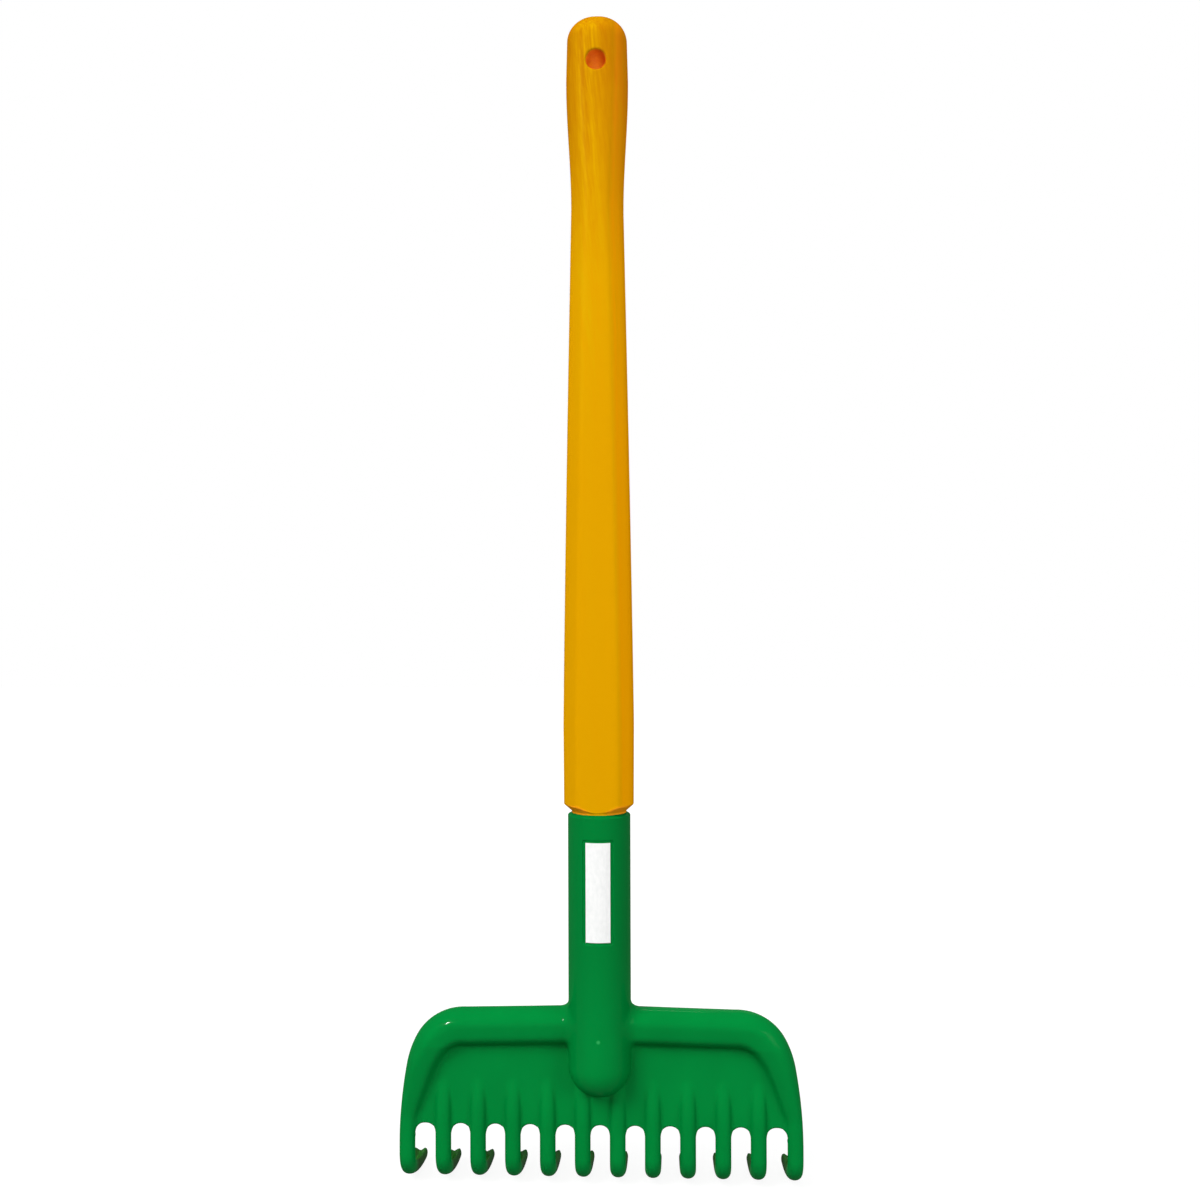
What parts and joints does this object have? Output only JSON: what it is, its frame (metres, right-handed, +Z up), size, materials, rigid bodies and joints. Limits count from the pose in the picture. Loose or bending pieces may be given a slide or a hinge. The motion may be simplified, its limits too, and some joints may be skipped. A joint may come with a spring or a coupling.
{
  "type": "sand rake",
  "caption": "Child's long-handled sand rake: lacquered wooden handle with a hang hole, its tenon screwed into a one-piece moulded plastic head with a hollow rim and bent tines.",
  "frame": {"origin": "middle of the hang hole, halfway through the handle", "axes": "+Z up the handle to its top end, front facing -Y, +Y along the hang hole to the back, where the tines point"},
  "size_m": [0.2074, 0.0546, 0.6006],
  "materials": {
    "green_plastic": "dyed through, satin gloss from the mould",
    "lacquered_wood": "yellow tinted lacquer over fine straight grain",
    "zinc_steel": "bright zinc plated",
    "white_film": "blank white stick-on film, satin"
  },
  "bodies": {
    "root": {"rake_head": "green_plastic", "handle": "lacquered_wood", "retaining_screw": "zinc_steel", "label": "white_film"}
  },
  "joints": []
}
